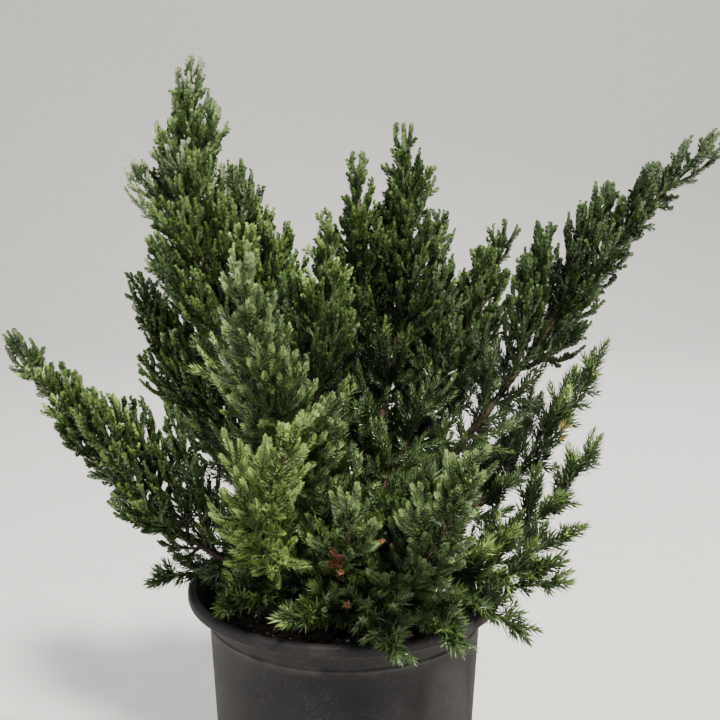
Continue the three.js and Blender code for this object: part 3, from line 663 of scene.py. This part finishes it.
def make_piece(name, vertices, faces, material):
    """A mesh from arrays in millimetres, riding on the body. Faces are triangles or quads."""
    vertices, faces = np.asarray(vertices, float), np.asarray(faces)
    count, corners = faces.shape
    mesh = bpy.data.meshes.new(name)
    mesh.vertices.add(len(vertices))
    mesh.vertices.foreach_set("co", (vertices * MM).astype(np.float32).ravel())
    mesh.loops.add(count * corners)
    mesh.loops.foreach_set("vertex_index", faces.astype(np.int32).ravel())
    mesh.polygons.add(count)
    mesh.polygons.foreach_set("loop_start", np.arange(0, count * corners, corners, dtype=np.int32))
    mesh.shade_flat()
    mesh.update(calc_edges=True)
    mesh.materials.append(material)
    piece = new_object(name, mesh)
    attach(piece, BODY)
    return piece


def make_pieces(name, mesh, total, material):
    """The same for a mesh of so many needles or twigs of one kind, cut into pieces within the limit."""
    vertices, faces = mesh
    corners, triangles = len(vertices) // total, len(faces) // total
    per_piece = PIECE_LIMIT // triangles
    pieces = []
    for number, start in enumerate(range(0, total, per_piece)):
        end = start + per_piece
        points = vertices[start * corners:end * corners]
        part = faces[start * triangles:end * triangles] - start * corners
        suffix = f"_{number + 1}" if total > per_piece else ""
        pieces.append(make_piece(name + suffix, points, part, material))
    return pieces


class Nodes:
    """Adds nodes to a material in short lines."""

    def __init__(self, material):
        self.tree = material.node_tree
        self.shader = self.tree.nodes["Principled BSDF"].inputs
        self.place = self.add("ShaderNodeTexCoord").outputs["Object"]

    def add(self, kind, inputs=(), **settings):
        node = self.tree.nodes.new(kind)
        for key, value in settings.items():
            setattr(node, key, value)
        for key, value in dict(inputs).items():
            if isinstance(value, bpy.types.NodeSocket):
                self.tree.links.new(value, node.inputs[key])
            else:
                node.inputs[key].default_value = value
        return node

    def noise(self, scale, detail=4, roughness=0.55, stretch=(1, 1, 1)):
        mapping = self.add("ShaderNodeMapping", {"Vector": self.place, "Scale": stretch})
        inputs = {"Vector": mapping.outputs[0], "Scale": scale, "Detail": detail, "Roughness": roughness}
        return self.add("ShaderNodeTexNoise", inputs).outputs["Fac"]

    def ramp(self, factor, low, high, start=0.0, end=1.0):
        """A factor mapped from low..high to start..end, and clamped."""
        inputs = {"Value": factor, "From Min": low, "From Max": high, "To Min": start, "To Max": end}
        return self.add("ShaderNodeMapRange", inputs).outputs[0]

    def times(self, one, two):
        return self.add("ShaderNodeMath", {0: one, 1: two}, operation="MULTIPLY").outputs[0]

    def plus(self, one, two):
        return self.add("ShaderNodeMath", {0: one, 1: two}, operation="ADD").outputs[0]

    def mix(self, factor, one, two):
        node = self.add("ShaderNodeMix", {"Factor": factor}, data_type="RGBA")
        for key, value in (("A", one), ("B", two)):
            socket = [s for s in node.inputs if s.name == key and s.type == "RGBA"][0]
            if isinstance(value, bpy.types.NodeSocket):
                self.tree.links.new(value, socket)
            else:
                socket.default_value = (*value, 1)
        return [s for s in node.outputs if s.type == "RGBA"][0]

    def bump(self, height, strength, distance):
        inputs = {"Height": height, "Strength": strength, "Distance": distance}
        return self.add("ShaderNodeBump", inputs).outputs[0]

    def link(self, output, name):
        """Lets a node set one of the shader's inputs."""
        self.tree.links.new(output, self.shader[name])


def new_material(name, base, roughness):
    material = bpy.data.materials.new(name)
    material.use_nodes = True
    nodes = Nodes(material)
    nodes.shader["Base Color"].default_value = (*base, 1)
    nodes.shader["Roughness"].default_value = roughness
    return material, nodes


def needle_material(tint):
    base = np.array(TINTS[tint])
    material, nodes = new_material(f"needles_{tint}", base, 0.34)
    nodes.shader["Specular IOR Level"].default_value = 0.85
    patches = nodes.ramp(nodes.noise(220, 2), 0.35, 0.65)
    nodes.link(nodes.mix(patches, base * 0.82, base * 1.2), "Base Color")
    nodes.link(nodes.ramp(nodes.noise(900, 2), 0.3, 0.7, 0.26, 0.44), "Roughness")
    return material


def twig_material():
    base = np.array((0.045, 0.062, 0.020))
    material, nodes = new_material("green_twigs", base, 0.7)
    mottle = nodes.ramp(nodes.noise(500, 3), 0.3, 0.7)
    nodes.link(nodes.mix(mottle, base * 0.6, base * 1.35), "Base Color")
    nodes.link(nodes.bump(nodes.noise(1200, 3), 0.5, 0.0004), "Normal")
    return material


def bark_material():
    material, nodes = new_material("bark", (0.12, 0.065, 0.035), 0.85)
    fibres = nodes.noise(90, 6, 0.65, (6, 6, 1))
    flakes = nodes.noise(240, 4, 0.6)
    brown = nodes.mix(nodes.ramp(fibres, 0.35, 0.65), (0.020, 0.011, 0.007), (0.085, 0.041, 0.022))
    grey = nodes.mix(nodes.ramp(flakes, 0.56, 0.72), brown, (0.11, 0.076, 0.054))
    nodes.link(grey, "Base Color")
    nodes.link(nodes.bump(fibres, 0.7, 0.0009), "Normal")
    return material


def pot_material():
    material, nodes = new_material("pot_plastic", (0.01, 0.01, 0.011), 0.5)
    nodes.shader["Specular IOR Level"].default_value = 0.12
    cloud = nodes.noise(14, 5, 0.6)
    fine = nodes.noise(420, 4, 0.7)
    mottle = nodes.noise(80, 4, 0.65)
    place = nodes.add("ShaderNodeSeparateXYZ", {"Vector": nodes.place}).outputs
    # Painted sheen and highlight: the plastic gets paler towards its left and right edges as the camera sees
    # them, most on the right where the key light falls, with a slanting paler streak there
    right_highlight = nodes.ramp(place["X"], 0.015, 0.075, 0.0, 0.9)
    left_sheen = nodes.ramp(place["X"], -0.045, -0.078, 0.0, 0.6)
    slant = nodes.add("ShaderNodeVectorMath", {0: nodes.place, 1: (0.55, 0, -0.83)}, operation="DOT_PRODUCT")
    streak = nodes.times(nodes.ramp(slant.outputs["Value"], -0.104, -0.088), right_highlight)
    side_sheen = nodes.plus(nodes.plus(right_highlight, left_sheen), streak)
    worn = nodes.times(nodes.ramp(cloud, 0.35, 0.7, 0.45, 1.0), nodes.ramp(fine, 0.3, 0.7, 0.3, 0.9))
    blotched = nodes.times(worn, nodes.ramp(mottle, 0.36, 0.64, 0.65, 1.15))
    band_dust = nodes.ramp(place["Z"], 0.1465, 0.1490, 0.26, 0.46)
    # Real dust on the band and lip, together with the painted side sheen and highlight, both broken up by the
    # dust's mottle
    dust_and_sheen = nodes.times(blotched, nodes.plus(side_sheen, band_dust))
    plastic = nodes.mix(nodes.ramp(cloud, 0.3, 0.7), (0.0045, 0.0047, 0.0070), (0.0090, 0.0090, 0.0105))
    # One pale dust colour serves for the real dust and for the painted sheen and highlight
    dusted_and_sheened = nodes.mix(dust_and_sheen, plastic, (0.048, 0.042, 0.038))
    under_ridge = nodes.ramp(place["Z"], 0.1435, 0.1472)
    over_ridge = nodes.ramp(place["Z"], 0.1482, 0.1505, 1.0, 0.0)
    on_ridge = nodes.times(nodes.times(under_ridge, over_ridge), nodes.ramp(mottle, 0.40, 0.60, 0.15, 1.0))
    ridged = nodes.mix(nodes.times(on_ridge, 0.6), dusted_and_sheened, (0.055, 0.050, 0.047))
    cells = nodes.add("ShaderNodeTexVoronoi", {"Vector": nodes.place, "Scale": 900})
    is_speck = nodes.ramp(cells.outputs["Distance"], 0.12, 0.28, 1.0, 0.0)
    specks = nodes.times(is_speck, nodes.ramp(mottle, 0.4, 0.62, 0.0, 0.6))
    specked = nodes.mix(specks, ridged, (0.10, 0.092, 0.082))
    scratches = nodes.times(nodes.ramp(nodes.noise(60, 3, 0.6, (1, 1, 26)), 0.64, 0.72), 0.2)
    nodes.link(nodes.mix(scratches, specked, (0.07, 0.064, 0.060)), "Base Color")
    nodes.link(nodes.ramp(dust_and_sheen, 0.0, 0.6, 0.42, 0.75), "Roughness")
    nodes.link(nodes.bump(fine, 0.12, 0.0003), "Normal")
    return material


def soil_material():
    material, nodes = new_material("potting_mix", (0.02, 0.014, 0.01), 0.95)
    lumps = nodes.noise(180, 6, 0.7)
    brown = nodes.mix(nodes.ramp(lumps, 0.3, 0.75), (0.006, 0.004, 0.003), (0.045, 0.030, 0.020))
    nodes.link(brown, "Base Color")
    nodes.link(nodes.bump(lumps, 0.9, 0.002), "Normal")
    return material


def chip_material(name, dark, pale):
    material, nodes = new_material(name, pale, 0.9)
    grain = nodes.noise(350, 4, 0.6, (1, 2, 3))
    nodes.link(nodes.mix(nodes.ramp(grain, 0.3, 0.7), dark, pale), "Base Color")
    nodes.link(nodes.bump(grain, 0.6, 0.0006), "Normal")
    return material


def floor_material():
    material, nodes = new_material("floor", (0.60, 0.59, 0.57), 0.9)
    grain = nodes.ramp(nodes.noise(40, 4), 0.3, 0.7)
    nodes.link(nodes.mix(grain, (0.585, 0.575, 0.555), (0.615, 0.605, 0.585)), "Base Color")
    return material


def arc(centre, radius, start, end, steps):
    """Points of a round stretch of a profile, with angles in degrees from the outward direction."""
    angles = np.radians(np.linspace(start, end, steps))
    return [(centre[0] + radius * math.cos(a), centre[1] + radius * math.sin(a)) for a in angles]


def straight(start, end, steps):
    return list(np.linspace(start, end, steps))


def capped(rings, first, last):
    """A closed mesh from rings of points, with a point in the middle of its first and last ring."""
    count, sides = len(rings), len(rings[0])
    faces = []
    for row in range(count - 1):
        for side in range(sides):
            a, b = row * sides + side, row * sides + (side + 1) % sides
            faces.append((a, b, b + sides, a + sides))
    top = (count - 1) * sides
    for side in range(sides):
        after = (side + 1) % sides
        faces += [(after, side, count * sides), (top + side, top + after, count * sides + 1)]
    return np.concatenate([*rings, [first, last]]), faces


def turned_mesh(profile, sides):
    """A closed solid of revolution from a profile that starts and ends on the axis."""
    angles = 2 * np.pi * np.arange(sides) / sides
    rings = np.array([[(r * math.cos(a), r * math.sin(a), z) for a in angles] for r, z in profile[1:-1]])
    return capped(rings, (0, 0, profile[0][1]), (0, 0, profile[-1][1]))


def object_from(name, vertices, faces):
    mesh = bpy.data.meshes.new(name)
    mesh.from_pydata([tuple(v) for v in np.asarray(vertices) * MM], [], faces, shade_flat=False)
    mesh.update()
    return new_object(name, mesh)


def turned_boxes(size, centre, turns):
    """Boxes of one size, each turned about the upright axis together with its centre."""
    boxes = []
    for turn in turns:
        c, s = math.cos(turn), math.sin(turn)
        boxes.append((BOX_CORNERS * size + centre) @ np.array([[c, s, 0], [-s, c, 0], [0, 0, 1]]))
    return np.concatenate(boxes), copied(BOX_QUADS, len(turns), len(BOX_CORNERS)).tolist()


def make_pot():
    ridge = POT_HEIGHT - BAND_DEPTH
    under_lip = POT_HEIGHT - LIP_HEIGHT
    profile = [(0, 0)]
    profile += straight((FLOOR_RING, 0), (BASE_RADIUS - FOOT_ROUND - 1, 0), 3)
    profile += arc((BASE_RADIUS - FOOT_ROUND, FOOT_ROUND), FOOT_ROUND, -90, 0, 6)
    profile += straight((BASE_RADIUS + 0.4, 12), (RIDGE_RADIUS - RIDGE_STEP, ridge - 1.2), 10)
    profile += arc((RIDGE_RADIUS - RIDGE_STEP, ridge + 0.5), 1.1, -70, 60, 6)
    profile += straight((RIDGE_RADIUS + 0.1, ridge + 2.6), (NECK_RADIUS - 0.7, under_lip - 3.6), 4)
    profile += arc((NECK_RADIUS + 2.4, under_lip - 3.0), 2.9, 175, 100, 5)
    profile += arc((LIP_RADIUS - 1.6, under_lip + 1.4), 1.6, -88, 0, 6)
    profile += arc((LIP_RADIUS - 2.4, POT_HEIGHT - 2.4), 2.4, 0, 92, 7)
    profile += arc((LIP_RADIUS - 3.2, POT_HEIGHT - 1.5), 1.5, 100, 160, 4)
    profile += straight((NECK_RADIUS - 0.2, under_lip + 0.6), (NECK_RADIUS - POT_WALL, under_lip - 1.5), 3)
    profile += straight((RIDGE_RADIUS - POT_WALL, ridge), (BASE_RADIUS - POT_WALL, POT_FLOOR + 2), 4)
    profile += [(BASE_RADIUS - POT_WALL - 2, POT_FLOOR), (FLOOR_RING, POT_FLOOR), (0, POT_FLOOR)]
    vertices, faces = turned_mesh(profile, POT_SIDES)
    angle = np.arctan2(vertices[:, 1], vertices[:, 0])
    tall = vertices[:, 2] / POT_HEIGHT
    squash, dents = 1 + np.sin(2 * angle + 0.6), 1 + np.sin(5 * angle)
    vertices[:, :2] *= (1 - SQUASH * squash * tall - DENTS * dents * tall)[:, None]
    pot = object_from("pot_body", vertices, faces)
    turns = [math.radians(DRAIN_TURN + 360 * index / DRAIN_COUNT) for index in range(DRAIN_COUNT)]
    slots = object_from("drain_slots", *turned_boxes(DRAIN_SIZE, (BASE_RADIUS, 0, 0), turns))
    cut = pot.modifiers.new("drains", "BOOLEAN")
    cut.operation = "DIFFERENCE"
    cut.object = slots
    bpy.context.view_layer.update()
    cut_mesh = bpy.data.meshes.new_from_object(pot.evaluated_get(bpy.context.evaluated_depsgraph_get()))
    pot.modifiers.clear()
    pot.data = cut_mesh
    bpy.data.objects.remove(slots)
    pot.data.materials.clear()
    pot.data.materials.append(pot_material())
    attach(pot, BODY)
    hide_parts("pot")


def soil_height(x, y):
    """The soil's surface at a place: a low crown with lumps."""
    reach = np.hypot(x, y)
    edge = RIDGE_RADIUS - POT_WALL
    fall = SOIL_EDGE_DROP * np.clip((reach - SOIL_CROWN_RADIUS) / (edge - SOIL_CROWN_RADIUS), 0, 1)
    lumps = 0.9 * np.sin(0.31 * x + 1.3) * np.sin(0.27 * y - 0.4) + 0.5 * np.sin(0.83 * x - 0.61 * y)
    return SOIL_LEVEL - SOIL_SUNK - fall + lumps


def make_soil():
    bottom = POT_FLOOR + GAP
    slope = (RIDGE_RADIUS - BASE_RADIUS) / (POT_HEIGHT - BAND_DEPTH - POT_FLOOR)
    foot_radius = BASE_RADIUS - POT_WALL - SOIL_SIDE_GAP
    top_radius = foot_radius + slope * (SOIL_LEVEL - SOIL_EDGE_DROP - POT_FLOOR)
    profile = [(0, bottom), (foot_radius, bottom), (top_radius, SOIL_LEVEL - SOIL_EDGE_DROP - 3)]
    profile += [(radius, SOIL_LEVEL) for radius in np.linspace(top_radius, 1.5, SOIL_RINGS)]
    profile += [(0, SOIL_LEVEL)]
    vertices, faces = turned_mesh(profile, SOIL_SIDES)
    is_top = vertices[:, 2] > SOIL_LEVEL - 1
    vertices[is_top, 2] = soil_height(vertices[is_top, 0], vertices[is_top, 1])
    soil = object_from("soil_surface", vertices, faces)
    soil.data.materials.append(soil_material())
    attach(soil, BODY)
    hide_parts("soil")
    for name, count, (short, long), squat, dark, pale in BITS:
        reach = (top_radius - OFF_WALL) * np.sqrt(RANDOM.random(count))
        angle = 2 * np.pi * RANDOM.random(count)
        x, y = reach * np.cos(angle), reach * np.sin(angle)
        size = short + (long - short) * RANDOM.random(count) ** BIT_SIZE_POWER
        width = size * (BIT_WIDTH + BIT_WIDTH_SCATTER * RANDOM.random(count))
        shape = np.stack([size, width, size * squat * BIT_THICKNESS], axis=1)[:, None]
        ragged = BIT_CORNER + BIT_CORNER_SCATTER * RANDOM.random((count, 8, 3))
        u, v, w = np.moveaxis(BOX_CORNERS * ragged * shape, 2, 0)
        turn = 2 * np.pi * RANDOM.random(count)[:, None]
        tip = either_way(count, BIT_TIPPING)[:, None]
        along = u * np.cos(tip) - w * np.sin(tip)
        up = u * np.sin(tip) + w * np.cos(tip)
        placed = np.stack([along * np.cos(turn) - v * np.sin(turn) + x[:, None],
                           along * np.sin(turn) + v * np.cos(turn) + y[:, None],
                           up + (soil_height(x, y) + BIT_LIFT)[:, None]], axis=-1)
        faces = copied(BOX_QUADS, count, len(BOX_CORNERS))
        make_piece(name, placed.reshape(-1, 3), faces, chip_material(name, dark, pale))


def bark_tube(centres, directions, radii, sides, seed, relief):
    """A limb with ridges that run along it and swellings across, as a closed grid of rings."""
    rings = []
    lengths = np.concatenate([[0], np.cumsum(np.linalg.norm(np.diff(centres, axis=0), axis=1))])
    for centre, direction, radius, along in zip(centres, directions, radii, lengths):
        angles = 2 * np.pi * np.arange(sides) / sides
        outward = around(np.repeat(direction[None], sides, axis=0), angles)
        ridges = np.sin(5 * angles + seed + 0.10 * along) + 0.7 * np.sin(9 * angles - 0.16 * along + 2 * seed)
        flakes = np.sin(0.9 * along + 3 * np.sin(4 * angles + seed)) * np.sin(7 * angles + 0.4 * along)
        swell = 0.5 * np.sin(0.35 * along + seed)
        rings.append(centre + outward * (radius * (1 + relief * (ridges + 0.8 * flakes + swell)))[:, None])
    return capped(rings, centres[0], centres[-1])


def joined_meshes(parts):
    """Several meshes as one."""
    vertices, faces, start = [], [], 0
    for points, polygons in parts:
        vertices.append(points)
        faces += [[start + corner for corner in polygon] for polygon in polygons]
        start += len(points)
    return np.concatenate(vertices), faces


def make_wood(bark):
    radii = np.interp(TRUNK_RINGS, *TRUNK_STATIONS.T)
    centres = TRUNK_LEAN * TRUNK_RINGS[:, None] + (0, 0, SOIL_LEVEL + GAP)
    upward = np.repeat([[0.0, 0.0, 1.0]], len(TRUNK_RINGS), axis=0)
    tube = bark_tube(centres, upward, radii, TRUNK_SIDES, 0.0, TRUNK_RELIEF)
    trunk = object_from("trunk_bark", *tube)
    trunk.data.materials.append(bark)
    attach(trunk, BODY)
    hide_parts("trunk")
    parts = []
    for limb in LIMBS[:len(BOUGHS)]:
        centres, directions = limb.at(np.linspace(0, limb.bare, BOUGH_RINGS))
        radii = np.linspace(limb.girth, BOUGH_TIP_RADIUS, BOUGH_RINGS)
        parts.append(bark_tube(centres, directions, radii, BOUGH_SIDES, limb.seed, BARK_RELIEF))
    boughs = object_from("bough_bark", *joined_meshes(parts))
    boughs.data.materials.append(bark)
    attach(boughs, BODY)
    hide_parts(*[f"bough_{limb.name}" for limb in LIMBS if not limb.starts_at_trunk])


def leader_tubes():
    """The limbs' own stems inside the foliage."""
    parts = []
    for limb in LIMBS:
        start = 0.0 if limb.starts_at_trunk else limb.bare
        thick = limb.girth if limb.starts_at_trunk else BOUGH_TIP_RADIUS
        centres, directions = limb.at(np.linspace(start, LEADER_STOPS[limb.kind], LEADER_RINGS))
        radii = np.linspace(thick, LEADER_TIP_RADIUS, LEADER_RINGS)
        parts.append(bark_tube(centres, directions, radii, LEADER_SIDES, limb.seed, BARK_RELIEF))
    return joined_meshes(parts)


def grow():
    """All twigs and needles: twigs, knobs on the finest of them, and short and long needles."""
    twigs, knobs, short, long = [], [], [], []
    for kind in ("scale", "plump", "dense", "awl"):
        limbs = [limb for limb in LIMBS if limb.kind == kind]
        leaders = joined([leader_shoots(limb) for limb in limbs])
        growers = (side_shoots, inner_shoots, end_shoot)
        sides = clear_shoots(joined([grower(limb) for limb in limbs for grower in growers]))
        is_juvenile = sides.place < JUVENILE_BELOW[kind]
        spiky, leafy = sides.pick(is_juvenile), sides.pick(~is_juvenile)
        fine = twigs_on(spiky, "sparse" if kind == "awl" else "spiky")
        twigs += [sides, leaders, fine]
        long += [needles_on(fine, "juvenile"), needles_on(leaders, "juvenile")]
        long += [needles_on(spiky, "awl" if kind in ("dense", "awl") else "juvenile")]
        if kind == "scale":
            cords = twigs_on(leafy, "cords")
            ends = twigs_on(cords, "knobs")
            twigs.append(cords)
            knobs.append(ends)
            short += [needles_on(cords, "scale", 0.15), needles_on(ends, "scale")]
            short += [needles_on(leafy, "scale", 0.6)]
        elif kind == "plump":
            fingers = twigs_on(leafy, "fingers")
            twigs.append(fingers)
            short += [needles_on(fingers, "plump"), needles_on(leafy, "plump", 0.3)]
    return joined(twigs), joined(knobs), merged(short), merged(long)


def make_foliage(bark):
    twigs, knobs, short, long = grow()
    green = twig_material()
    (piece,) = make_pieces("green_twigs", rod_mesh(twigs, sides=3, steps=2), len(twigs), green)
    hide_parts(*[f"foliage_{limb.name}" for limb in LIMBS])
    make_pieces("twig_knobs", rod_mesh(knobs, sides=3, steps=1), len(knobs), green)
    stems = object_from("leader_stems", *leader_tubes())
    stems.data.materials.append(bark)
    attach(stems, BODY)
    for number, tint in enumerate(TINT_NAMES):
        material = needle_material(tint)
        for kind, needles, (corners, pattern) in (("scales", short, KITE), ("awls", long, AWL)):
            mine = {key: value[needles["tint"] == number] for key, value in needles.items()}
            total = len(mine["length"])
            if total:
                mesh = needle_mesh(mine, corners, pattern)
                make_pieces(f"{kind}_{tint}", mesh, total, material)


def make_stage():
    """A plain floor that sweeps up behind the plant, with a round of 1 m."""
    sweep = np.linspace(0, np.pi / 2, 16)[1:]
    flat = np.linspace(FLOOR_FRONT, FLOOR_BACK, 12)
    depth = np.concatenate([flat, FLOOR_BACK + np.sin(sweep), [FLOOR_BACK + 1]])
    height = np.concatenate([0 * flat, 1 - np.cos(sweep), [WALL_TOP]])
    vertices = [(x * FLOOR_HALF_WIDTH / MM, y / MM, z / MM) for y, z in zip(depth, height) for x in (-1, 1)]
    faces = [(2 * i, 2 * i + 1, 2 * i + 3, 2 * i + 2) for i in range(len(depth) - 1)]
    floor = object_from("floor", vertices, faces)
    floor.data.materials.append(floor_material())


def make_light(name, place, aim, size, energy, colour):
    data = bpy.data.lights.new(name, "AREA")
    data.shape = "DISK"
    data.size = size
    data.energy = energy
    data.color = colour
    lamp = new_object(name, data)
    lamp.location = place
    direction = np.array((0, 0, aim)) - place
    turn = math.atan2(direction[1], direction[0]) - math.pi / 2
    pitch = math.acos(-direction[2] / np.linalg.norm(direction))
    lamp.rotation_euler = (pitch, 0, turn)


def make_lights():
    """Three soft lights, each aimed at a height on the pot's axis, and a pale sky."""
    make_light("key", (0.55, -1.0, 1.9), 0.25, 0.3, 125, (1.0, 0.96, 0.88))
    make_light("fill", (-1.5, -0.9, 1.0), 0.2, 1.2, 16, (0.95, 0.98, 1.0))
    make_light("back", (0.5, 1.4, 1.5), 0.25, 0.8, 30, (1.0, 0.98, 0.95))
    world = bpy.data.worlds.new("studio")
    world.use_nodes = True
    sky = world.node_tree.nodes["Background"].inputs
    sky["Color"].default_value = (0.86, 0.88, 0.90, 1)
    sky["Strength"].default_value = 0.7
    bpy.context.scene.world = world


def make_camera():
    data = bpy.data.cameras.new("camera")
    data.lens = CAMERA_LENS
    data.sensor_width = SENSOR_WIDTH
    camera = new_object("camera", data)
    camera.location = CAMERA_PLACE
    camera.rotation_euler = (math.radians(CAMERA_PITCH), 0, 0)
    bpy.context.scene.camera = camera


make_camera()
make_lights()
make_stage()
make_pot()
make_soil()
bark = bark_material()
make_wood(bark)
make_foliage(bark)
